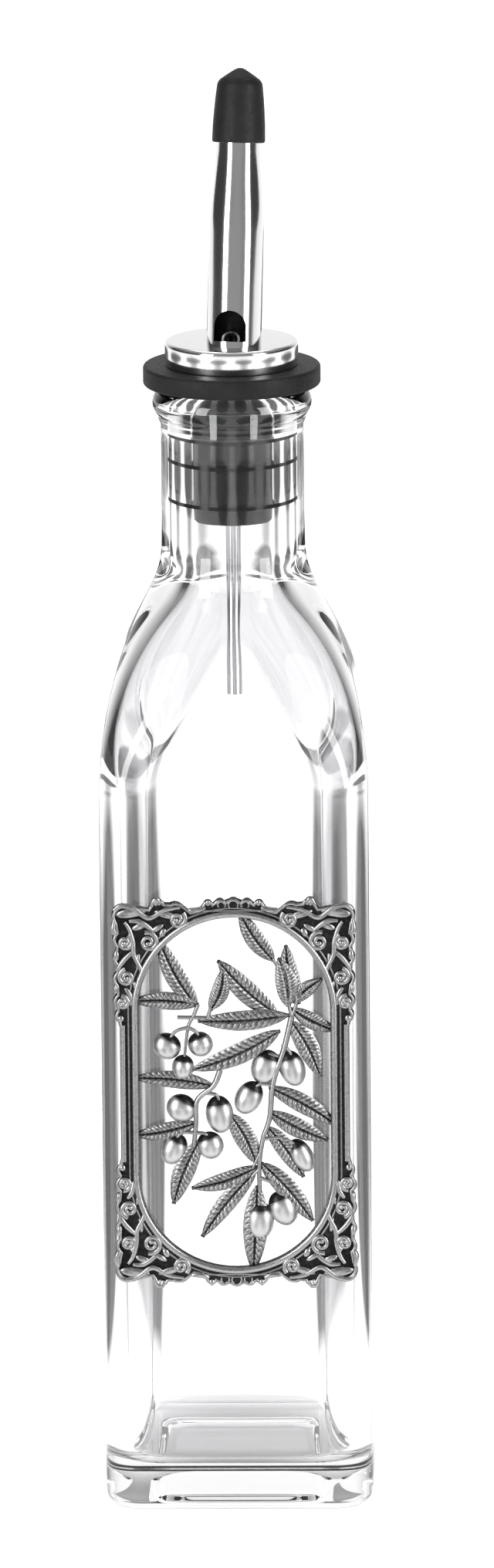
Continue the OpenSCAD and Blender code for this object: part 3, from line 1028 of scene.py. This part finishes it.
@dataclass
class Stopper:
    """The finned rubber stopper."""

    edge: float = 0.7
    plug_r: float = 8.5
    fin_r: float = 9.03
    shank_r: float = 6.05
    fins: tuple[float, ...] = (3.8, 12.5, 18.3)
    fin_h: float = 1.6
    flange_t: float = 4.3

    def profile(self) -> Outline:
        """Half section of the stopper, from the bore's foot round the outside and back."""
        low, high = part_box("rubber_stopper")
        foot, top, flange_r = low.z / MM, high.z / MM, high.x / MM
        lip = top - self.flange_t
        points = [(self.shank_r, foot), (self.plug_r - 0.5, foot), (self.plug_r - 0.1, foot + 0.5)]
        for h in self.fins:
            z = foot + h
            points += [(self.plug_r, z - self.fin_h / 2), (self.fin_r, z - self.fin_h / 4),
                       (self.fin_r, z + self.fin_h / 4), (self.plug_r, z + self.fin_h / 2)]
        points += [(self.plug_r, lip)]
        points += arc((flange_r - self.edge, lip + self.edge), self.edge, -90, 0, 6)
        points += arc((flange_r - self.edge, top - self.edge), self.edge, 0, 90, 6)
        return points + [(self.shank_r, top)]

    def build(self) -> bpy.types.Object:
        """Builds the stopper."""
        obj = lathe("stopper_rubber", self.profile(), 128)
        obj.data.transform(Matrix.Scale(MM, 4))
        smooth(obj, 40)
        dress(obj, BLACK_RUBBER)
        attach(obj, "stopper")
        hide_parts("rubber_stopper")
        return obj


@dataclass
class Pourer:
    """The steel collar and spout, and the rubber cap on its tip."""

    lean: float = 10.0
    turn: float = -9.5
    foot: Point2 = (0.6, -3.5)
    spout_r: float = 5.9
    cap_zone_r: float = 4.8
    tip_r: float = 4.15
    wall: float = 0.5
    length: float = 56.5
    straight: float = 24.0
    cap_length: float = 16.0
    cap_past_tip: float = 2.4
    hole: float = 7.0
    sheet: float = 0.6
    collar_edge: float = 0.9
    place: Matrix = field(init=False)
    top: float = field(init=False)
    cap_start: float = field(init=False)

    def __post_init__(self) -> None:
        """Finds the spout's foot on the collar's top, and where the tip cap starts."""
        self.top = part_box("collar_cap")[1].z / MM
        self.cap_start = self.length + self.cap_past_tip - self.cap_length
        self.place = (Matrix.Scale(MM, 4) @ Matrix.Translation((*self.foot, self.top))
                      @ Matrix.Rotation(math.radians(self.turn), 4, "Z")
                      @ Matrix.Rotation(math.radians(-self.lean), 4, "X"))

    def collar(self) -> bpy.types.Object:
        """Builds the pressed collar with its rolled rim, and cuts the spout's hole in it."""
        low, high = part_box("collar_cap")
        r, foot, top, e, s = high.x / MM, low.z / MM, self.top, self.collar_edge, self.sheet
        profile = [(0.4, top)] + arc((r - e, top - e), e, 90, 0, 8)
        profile += [(r, foot + 0.5), (r - 0.1, foot + 0.1), (r - s, foot)]
        profile += arc((r - s - e, top - s - e), e, 0, 90, 6) + [(0.4, top - s)]
        obj = lathe("collar_steel", profile, 128)
        obj.data.transform(Matrix.Scale(MM, 4))
        bpy.ops.object.select_all(action="DESELECT")
        bpy.ops.mesh.primitive_cylinder_add(vertices=96, radius=self.spout_r - 0.02, depth=10)
        tool = bpy.context.active_object
        tool.data.transform(self.place)
        cut(obj, tool)
        smooth(obj, 30)
        dress(obj, POLISHED_STEEL)
        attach(obj, "pourer")
        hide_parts("collar_cap")
        return obj

    def arch_tool(self) -> bpy.types.Object:
        """Cutter for the air hole: a round head over straight sides."""
        r = self.hole / 2
        outline = [(-r, 0.35), (r, 0.35)] + arc((0, r), r, 0, 180, 24)
        return loft("arch_tool", [[(x, y, z) for x, z in outline] for y in (-9.0, 0.0)])

    def spout(self) -> bpy.types.Object:
        """Builds the tapered tube, trims its foot to the collar and cuts the air hole."""
        ease = [(self.straight + (self.cap_start - self.straight) * t,
                 self.spout_r + (self.cap_zone_r - self.spout_r) * smoothstep(t) ** 0.9)
                for t in (0.0, 0.15, 0.3, 0.45, 0.6, 0.75, 0.9, 1.0)]
        outside = [(self.spout_r, -3.0), (self.spout_r, 12.0)] + [(r, s) for s, r in ease]
        outside += [(self.tip_r + 0.1, self.length - 0.4)]
        inside = [(r - self.wall, s) for r, s in outside[::-1]]
        tip = [(self.tip_r - 0.1, self.length), (self.tip_r - self.wall + 0.1, self.length)]
        obj = lathe("spout_steel", outside + tip + inside, 128)
        # Inner faces take the near-black bore finish: painted shade inside the tube.
        inner = [face.index for face in obj.data.polygons
                 if face.normal.x * face.center.x + face.normal.y * face.center.y < 0]
        dress(obj, POLISHED_STEEL)
        obj.data.materials.append(BORE_PAINTED_SHADE.build())
        for index in inner:
            obj.data.polygons[index].material_index = 1
        tool = self.arch_tool()
        tidy_normals(tool)
        cut(obj, tool)
        obj.data.transform(self.place)
        edit(obj, lambda: bpy.ops.mesh.bisect(
            plane_co=(0, 0, (self.top - self.sheet) * MM), plane_no=(0, 0, 1), clear_inner=True,
            use_fill=True))
        smooth(obj, 30)
        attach(obj, "pourer")
        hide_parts("spout")
        return obj

    def tip(self) -> bpy.types.Object:
        """Builds the pointed rubber cap."""
        n = self.cap_length
        outer = [(4.95, 0.0), (5.3, 0.0), (5.62, 0.15), (5.7, 0.6), (5.62, 3.8), (5.42, 7.0),
                 (5.2, 9.6), (4.95, 11.9), (4.86, 12.6), (4.5, 13.3), (3.4, 14.2), (2.2, 15.0),
                 (1.1, 15.7), (0.5, n - 0.05), (0.0, n)]
        inner = [(0.0, n - 2.2), (self.tip_r + 0.06, n - 2.3), (self.cap_zone_r + 0.06, 0.4)]
        obj = lathe("tip_cap_rubber", outer + inner, 96)
        obj.data.transform(self.place @ Matrix.Translation((0, 0, self.cap_start)))
        smooth(obj, 38)
        dress(obj, BLACK_RUBBER)
        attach(obj, "cap")
        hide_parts("tip_cap")
        return obj

    def build(self) -> list[bpy.types.Object]:
        """Builds all the pourer's pieces."""
        return [self.collar(), self.spout(), self.tip()]


# ---------------------------------------------------------------- studio


@dataclass
class Studio:
    """Floor, light and camera."""

    distance: float = 2.9
    elevation: float = 13.4
    azimuth: float = 1.4
    roll: float = -0.54
    aim: tuple[float, float, float] = (0.00244, 0.0, 0.15564)
    lens: float = 307.6
    lane: float = 0.031
    lane_fade: float = 0.015
    floor_size: float = 12.0
    floor_dark: float = 0.05
    floor_glow: float = 0.75
    thin_lane: float = 0.14
    wide_lane: float = 0.6
    painted_base_shadow: float = 0.3
    strip_power: float = 26.0
    top_power: float = 6.0

    def camera(self) -> None:
        """Adds the long-lens camera, a little above the bottle."""
        e, a, r = (math.radians(v) for v in (self.elevation, self.azimuth, self.roll))
        back = Vector((math.sin(a) * math.cos(e), -math.cos(a) * math.cos(e), math.sin(e)))
        right = Vector((0, 0, 1)).cross(back).normalized()
        up = back.cross(right)
        side, top = right * math.cos(r) + up * math.sin(r), up * math.cos(r) - right * math.sin(r)
        data = bpy.data.cameras.new("camera")
        data.sensor_fit = "VERTICAL"
        data.sensor_height = 36.0
        data.lens = self.lens
        data.clip_end = 50
        camera = bpy.data.objects.new("camera", data)
        place = Matrix((side, top, back)).transposed().to_4x4()
        place.translation = Vector(self.aim) + back * self.distance
        camera.matrix_world = place
        bpy.context.scene.collection.objects.link(camera)
        bpy.context.scene.camera = camera

    def floor(self) -> None:
        """Adds a wide pale floor.

        Reflections and refractions meet it as bright glowing lanes with dark gaps, painted for the
        glass and steel to mirror, and as a painted shadow under the bottle's base; camera rays see
        it plain.
        """
        bpy.ops.object.select_all(action="DESELECT")
        bpy.ops.mesh.primitive_plane_add(size=self.floor_size, location=(0, 0, 0))
        floor = bpy.context.active_object
        floor.name = "floor"
        material = bpy.data.materials.new("floor_paper")
        nodes = cleared(material)
        place = nodes.add("ShaderNodeTexCoord").outputs["Object"]
        parts = nodes.add("ShaderNodeSeparateXYZ", {0: place}).outputs
        flat = nodes.add("ShaderNodeCombineXYZ", {"X": parts["X"], "Y": parts["Y"]}).outputs[0]
        reach = nodes.add("ShaderNodeVectorMath", {0: flat}, operation="LENGTH").outputs["Value"]
        turn = nodes.maths("ARCTAN2", parts["Y"], parts["X"])
        across, along = (nodes.maths("ABSOLUTE", parts[axis]) for axis in "XY")
        slant = nodes.maths("ABSOLUTE", nodes.maths("SUBTRACT", across, along))
        aside = nodes.maths("MINIMUM", nodes.maths("MINIMUM", across, along),
                            nodes.maths("MULTIPLY", slant, math.sqrt(0.5)))
        near = nodes.spread(aside, self.lane, self.lane + self.lane_fade, 1.0, self.floor_dark)
        wave = nodes.maths("ABSOLUTE", nodes.maths("SINE", nodes.maths("MULTIPLY", turn, 4.0)))
        thin, broad = self.thin_lane, self.wide_lane
        wide = nodes.maths("MINIMUM", nodes.spread(reach, 0.5, 0.72, thin, broad),
                           nodes.spread(reach, 0.95, 1.05, broad, thin))
        wide = nodes.maths("MAXIMUM", wide, nodes.spread(reach, 1.3, 1.6, thin, 1.0))
        width = nodes.maths("ADD", nodes.maths("DIVIDE", 4 * self.lane, reach), wide)
        far = nodes.spread(nodes.maths("SUBTRACT", wave, width), 0.0, 0.35, 1.0, self.floor_dark)
        blend = nodes.spread(reach, 0.3, 0.45, 0.0, 1.0)
        lane = nodes.maths("ADD", nodes.maths("MULTIPLY", blend, far),
                           nodes.maths("MULTIPLY", nodes.maths("SUBTRACT", 1.0, blend), near))
        plain = nodes.add("ShaderNodeLightPath").outputs["Is Camera Ray"]
        # Painted shadow under the base: the floor darkens there for reflected and refracted rays.
        under = nodes.spread(reach, 0.02, 0.05, self.painted_base_shadow, 1.0)
        glow = nodes.maths("MAXIMUM", nodes.maths("MULTIPLY", lane, under), plain)
        colour = nodes.mix(glow, (0.1, 0.1, 0.1, 1), (0.9, 0.9, 0.9, 1))
        shader = nodes.add("ShaderNodeBsdfPrincipled", {
            "Base Color": colour, "Roughness": 0.9, "Emission Color": (1, 1, 1, 1),
            "Emission Strength": nodes.maths("MULTIPLY", glow, self.floor_glow),
            "Specular IOR Level": 0.0})
        nodes.add("ShaderNodeOutputMaterial", {"Surface": shader.outputs[0]})
        floor.data.materials.append(material)

    def softbox(self, name: str, place: tuple, size: Point2, power: float, target: tuple) -> None:
        """Adds a rectangular softbox.

        Args:
            name: Name of the light.
            place: Where it stands, in metres.
            size: Its width and height in metres.
            power: Its power in watts.
            target: The point that it faces.
        """
        data = bpy.data.lights.new(name, "AREA")
        data.shape = "RECTANGLE"
        data.size, data.size_y = size
        data.energy = power
        light = bpy.data.objects.new(name, data)
        direction = Vector(target) - Vector(place)
        facing = direction.to_track_quat("-Z", "Y").to_matrix().to_4x4()
        light.matrix_world = Matrix.Translation(place) @ facing
        bpy.context.scene.collection.objects.link(light)

    def lights(self) -> None:
        """Adds two tall strips in front, a soft top light, and a world that is bright behind."""
        middle = (0, 0, 0.2)
        self.softbox("strip_left", (-1.16, -1.24, 0.5), (0.5, 1.7), self.strip_power, middle)
        self.softbox("strip_right", (1.34, -1.05, 0.5), (0.55, 1.7), self.strip_power, middle)
        self.softbox("top", (0, 0.6, 1.6), (1.2, 0.8), self.top_power, middle)
        world = bpy.data.worlds.new("studio_world")
        bpy.context.scene.world = world
        nodes = cleared(world)
        direction = nodes.add("ShaderNodeTexCoord").outputs["Generated"]
        parts = nodes.add("ShaderNodeSeparateXYZ", {0: direction}).outputs
        behind = nodes.spread(parts["Y"], 0.55, 0.9, 0.0, 1.0)
        front = nodes.spread(parts["Y"], -0.95, -0.6, 0.3, 0.0)
        above = nodes.spread(parts["Z"], 0.3, 0.95, 0.0, 0.45)
        share = nodes.maths("MAXIMUM", nodes.maths("MAXIMUM", behind, front), above)
        colour = nodes.mix(share, (0.05, 0.05, 0.05, 1), (1.0, 1.0, 1.0, 1))
        glow = nodes.add("ShaderNodeBackground", {"Color": colour, "Strength": 1.0})
        nodes.add("ShaderNodeOutputWorld", {"Surface": glow.outputs[0]})
        bpy.context.scene.view_settings.view_transform = "Standard"

    def build(self) -> None:
        """Sets up the whole studio."""
        self.camera()
        self.floor()
        self.lights()


# ---------------------------------------------------------------- main


def dress_hidden_nodes(nodes: dict[str, bpy.types.Object]) -> None:
    """Gives the CAD nodes whose shape is kept their own finish."""
    for name, finish in (("adhesive_pads", MOUNTING_PAD), ("shank", DRAWN_STEEL),
                         ("breather_tube", DRAWN_STEEL)):
        dress(nodes[name], finish)


def main() -> None:
    """Builds the studio and the bottle."""
    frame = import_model()
    bpy.ops.object.select_all(action="DESELECT")
    grain_group()
    relief_group()
    Studio().build()
    pieces = [Bottle().build(), *Plaque().build(), Stopper().build(), *Pourer().build()]
    dress_hidden_nodes(frame["nodes"])
    for piece in pieces:
        LOG.info("%s: %d faces", piece.name, len(piece.data.polygons))


if __name__ == "__main__":
    logging.basicConfig(level=logging.INFO, format="%(message)s")
    main()
